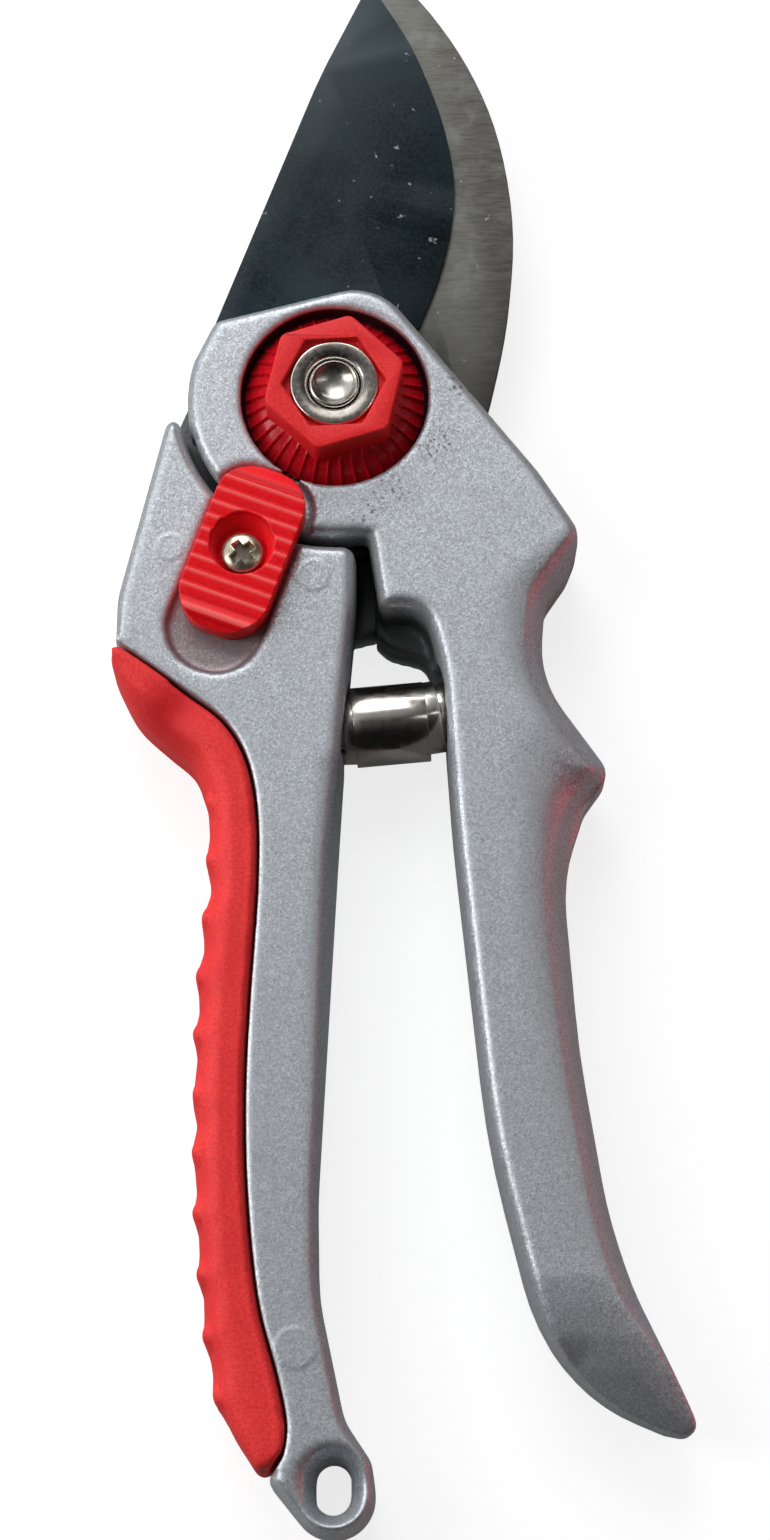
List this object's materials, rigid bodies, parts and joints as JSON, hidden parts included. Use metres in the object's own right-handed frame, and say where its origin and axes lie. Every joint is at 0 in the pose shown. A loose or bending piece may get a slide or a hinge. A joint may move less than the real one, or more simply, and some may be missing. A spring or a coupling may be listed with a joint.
{
  "type": "pruning shears",
  "caption": "Bypass pruning shears with silver handles, a red grip, a red thumb latch and adjuster wheel, a dark blade over a steel hook, closed and locked.",
  "frame": {"origin": "pivot axis at the back of the head, where the bolt head's flat back lies", "axes": "+Y from the pivot towards the blade tips, +X towards the right-hand handle seen from the front, +Z from the back to the adjuster wheel"},
  "size_m": [0.0737, 0.2118, 0.0218],
  "materials": {
    "silver_paint": "grainy metallic silver paint on die-cast aluminium",
    "grip_rubber": "matt red soft moulding",
    "blade_coating": "dark semi-gloss non-stick coating on steel, bare at the ground edge",
    "hook_steel": "bare grey steel with grinding streaks",
    "red_plastic": "glossy moulded plastic",
    "bright_steel": "polished plated steel",
    "dark_steel": "plain steel, slightly oiled",
    "bearing_brass": "turned, smooth",
    "spring_steel": "smooth rolled strip"
  },
  "bodies": {
    "left_handle": {"left_handle": "silver_paint", "handle_grip": "grip_rubber", "hook_blade": "hook_steel", "hook_rivet_1": "dark_steel", "hook_rivet_2": "dark_steel", "pivot_bolt": "bright_steel", "pivot_bush": "bearing_brass", "latch_detent_ball": "bright_steel", "latch_detent_spring": "spring_steel", "spring_turn_1": "spring_steel"},
    "right_handle": {"right_handle": "silver_paint", "cutting_blade": "blade_coating", "blade_pin_1": "dark_steel", "blade_pin_2": "dark_steel", "spring_turn_5": "spring_steel"},
    "adjuster": {"adjuster_wheel": "red_plastic", "pivot_nut": "dark_steel", "pivot_washer": "dark_steel"},
    "latch": {"latch_slider": "red_plastic", "latch_screw": "bright_steel", "latch_plate": "dark_steel"},
    "spring_turn_2": {"spring_turn_2": "spring_steel"},
    "spring_turn_3": {"spring_turn_3": "spring_steel"},
    "spring_turn_4": {"spring_turn_4": "spring_steel"}
  },
  "joints": [
    {"name": "handle_pivot", "type": "hinge", "parent": "left_handle", "child": "right_handle", "pos_m": [0, 0, 0.0083], "axis": [0, 0, 1], "range_deg": [0, 24]},
    {"name": "latch_slide", "type": "slide", "parent": "left_handle", "child": "latch", "axis": [-0.342, -0.9397, 0], "range_m": [0, 0.005]},
    {"name": "adjuster_turn", "type": "hinge", "parent": "left_handle", "child": "adjuster", "pos_m": [0, 0, 0.0166], "axis": [0, 0, 1], "range_deg": [-60, 60]},
    {"name": "spring_turn_2_swing", "type": "hinge", "parent": "left_handle", "child": "spring_turn_2", "pos_m": [0, 0, 0.0083], "axis": [0, 0, 1], "range_deg": [0, 6.2]},
    {"name": "spring_turn_3_swing", "type": "hinge", "parent": "left_handle", "child": "spring_turn_3", "pos_m": [0, 0, 0.0083], "axis": [0, 0, 1], "range_deg": [0, 12.3]},
    {"name": "spring_turn_4_swing", "type": "hinge", "parent": "left_handle", "child": "spring_turn_4", "pos_m": [0, 0, 0.0083], "axis": [0, 0, 1], "range_deg": [0, 18.4]}
  ],
  "couplings": [
    {"joint": "spring_turn_2_swing", "follows": "handle_pivot", "ratio": 0.25},
    {"joint": "spring_turn_3_swing", "follows": "handle_pivot", "ratio": 0.5},
    {"joint": "spring_turn_4_swing", "follows": "handle_pivot", "ratio": 0.75}
  ]
}
